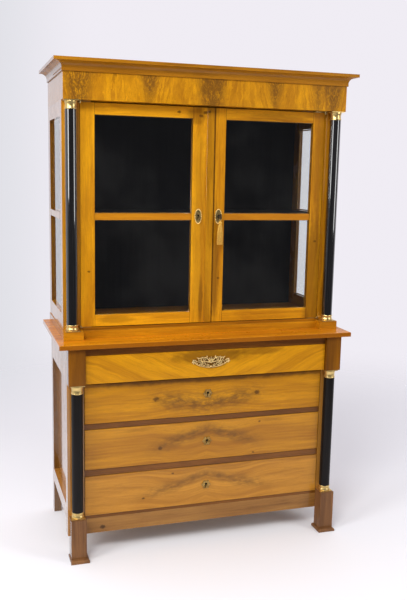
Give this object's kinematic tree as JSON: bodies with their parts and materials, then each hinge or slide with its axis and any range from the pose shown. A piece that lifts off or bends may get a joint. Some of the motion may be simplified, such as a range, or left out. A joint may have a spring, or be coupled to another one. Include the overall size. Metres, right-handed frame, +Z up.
{
  "type": "glazed cabinet on chest",
  "caption": "Tall glazed two-door cabinet standing on a chest of drawers, with a cornice, a figured frieze, ebonised corner columns with brass capitals, square feet and a tasselled key.",
  "frame": {"origin": "middle of the footprint, on the floor", "axes": "+X to the viewer's right, +Y to the back, +Z up"},
  "size_m": [1.33, 0.602, 2.1],
  "materials": {
    "polished_wood": "French-polished honey-brown fruitwood, gloss",
    "figured_veneer": "French-polished figured veneer, gloss",
    "dark_wood": "polished darker brown wood, satin",
    "interior_wood": "plain softwood, matte",
    "dark_lining": "near-black stained boards, matte",
    "ebonised_wood": "black-stained wood, high polish",
    "gilt_brass": "pressed gilt brass with dark patina in the hollows",
    "lock_brass": "dull aged brass",
    "iron": "dark forged iron",
    "glass": "clear old window glass",
    "silk": "cream-gold silk"
  },
  "bodies": {
    "case": {"chest_top": "polished_wood", "chest_side_frame_left": "polished_wood", "chest_side_frame_right": "polished_wood", "chest_side_panel_left": "polished_wood", "chest_side_panel_right": "polished_wood", "drawer_rails": "dark_wood", "chest_apron": "polished_wood", "corner_blocks": "dark_wood", "front_feet": "dark_wood", "drawer_runners": "interior_wood", "chest_back_panel": "dark_lining", "lower_column_left": "ebonised_wood", "lower_column_right": "ebonised_wood", "upper_column_left": "ebonised_wood", "upper_column_right": "ebonised_wood", "column_capitals": "gilt_brass", "column_bases": "gilt_brass", "plinth_frame": "polished_wood", "plinth_blocks": "polished_wood", "cabinet_floor": "interior_wood", "cabinet_side_frame_left": "polished_wood", "cabinet_side_frame_right": "polished_wood", "side_panes": "glass", "frieze": "figured_veneer", "cornice": "polished_wood", "cabinet_top_board": "interior_wood", "cabinet_back_panel": "dark_lining", "shelf": "interior_wood", "shelf_battens": "interior_wood", "hinge_plates": "lock_brass"},
    "drawer_1": {"drawer_front_1": "figured_veneer", "drawer_tray_1": "interior_wood", "frieze_mount": "gilt_brass"},
    "drawer_2": {"drawer_front_2": "figured_veneer", "drawer_tray_2": "interior_wood", "keyhole_rosette_2": "gilt_brass"},
    "bolt_2": {"drawer_bolt_2": "iron"},
    "drawer_3": {"drawer_front_3": "figured_veneer", "drawer_tray_3": "interior_wood", "keyhole_rosette_3": "gilt_brass"},
    "bolt_3": {"drawer_bolt_3": "iron"},
    "drawer_4": {"drawer_front_4": "figured_veneer", "drawer_tray_4": "interior_wood", "keyhole_rosette_4": "gilt_brass"},
    "bolt_4": {"drawer_bolt_4": "iron"},
    "door_left": {"door_frame_left": "polished_wood", "door_panes_left": "glass", "meeting_strip": "polished_wood", "door_escutcheon_left": "gilt_brass", "hinge_pivots_left": "lock_brass"},
    "door_right": {"door_frame_right": "polished_wood", "door_panes_right": "glass", "door_escutcheon_right": "gilt_brass", "hinge_pivots_right": "lock_brass", "door_lock": "lock_brass"},
    "lock_bolt": {"lock_bolt": "lock_brass"},
    "key": {"key": "iron"},
    "tassel": {"tassel": "silk"},
    "shoot_bolt_top": {"shoot_bolt_top": "lock_brass"},
    "shoot_bolt_bottom": {"shoot_bolt_bottom": "lock_brass"}
  },
  "joints": [
    {"name": "drawer_1_slide", "type": "slide", "parent": "case", "child": "drawer_1", "axis": [0, -1, 0], "range_m": [0, 0.38]},
    {"name": "drawer_2_slide", "type": "slide", "parent": "case", "child": "drawer_2", "axis": [0, -1, 0], "range_m": [0, 0.36]},
    {"name": "drawer_3_slide", "type": "slide", "parent": "case", "child": "drawer_3", "axis": [0, -1, 0], "range_m": [0, 0.36]},
    {"name": "drawer_4_slide", "type": "slide", "parent": "case", "child": "drawer_4", "axis": [0, -1, 0], "range_m": [0, 0.36]},
    {"name": "drawer_2_bolt_rise", "type": "slide", "parent": "drawer_2", "child": "bolt_2", "axis": [0, 0, 1], "range_m": [0, 0.008]},
    {"name": "drawer_3_bolt_rise", "type": "slide", "parent": "drawer_3", "child": "bolt_3", "axis": [0, 0, 1], "range_m": [0, 0.008]},
    {"name": "drawer_4_bolt_rise", "type": "slide", "parent": "drawer_4", "child": "bolt_4", "axis": [0, 0, 1], "range_m": [0, 0.008]},
    {"name": "door_left_swing", "type": "hinge", "parent": "case", "child": "door_left", "pos_m": [-0.5515, -0.1565, 1.47], "axis": [0, 0, -1], "range_deg": [0, 100]},
    {"name": "door_right_swing", "type": "hinge", "parent": "case", "child": "door_right", "pos_m": [0.5515, -0.1565, 1.47], "axis": [0, 0, 1], "range_deg": [0, 100]},
    {"name": "key_turn", "type": "hinge", "parent": "door_right", "child": "key", "pos_m": [0.055, -0.151, 1.473], "axis": [0, 1, 0], "range_deg": [0, 180]},
    {"name": "lock_bolt_throw", "type": "slide", "parent": "door_right", "child": "lock_bolt", "axis": [-1, 0, 0], "range_m": [0, 0.01]},
    {"name": "tassel_hang", "type": "hinge", "parent": "key", "child": "tassel", "pos_m": [0.055, -0.182, 1.473], "axis": [0, 1, 0], "range_deg": [-180, 0]},
    {"name": "shoot_bolt_top_slide", "type": "slide", "parent": "door_left", "child": "shoot_bolt_top", "axis": [0, 0, 1], "range_m": [0, 0.012]},
    {"name": "shoot_bolt_bottom_slide", "type": "slide", "parent": "door_left", "child": "shoot_bolt_bottom", "axis": [0, 0, -1], "range_m": [0, 0.012]}
  ],
  "couplings": [
    {"joint": "lock_bolt_throw", "follows": "key_turn", "m_per_rad": 0.003183},
    {"joint": "tassel_hang", "follows": "key_turn", "ratio": -1}
  ]
}
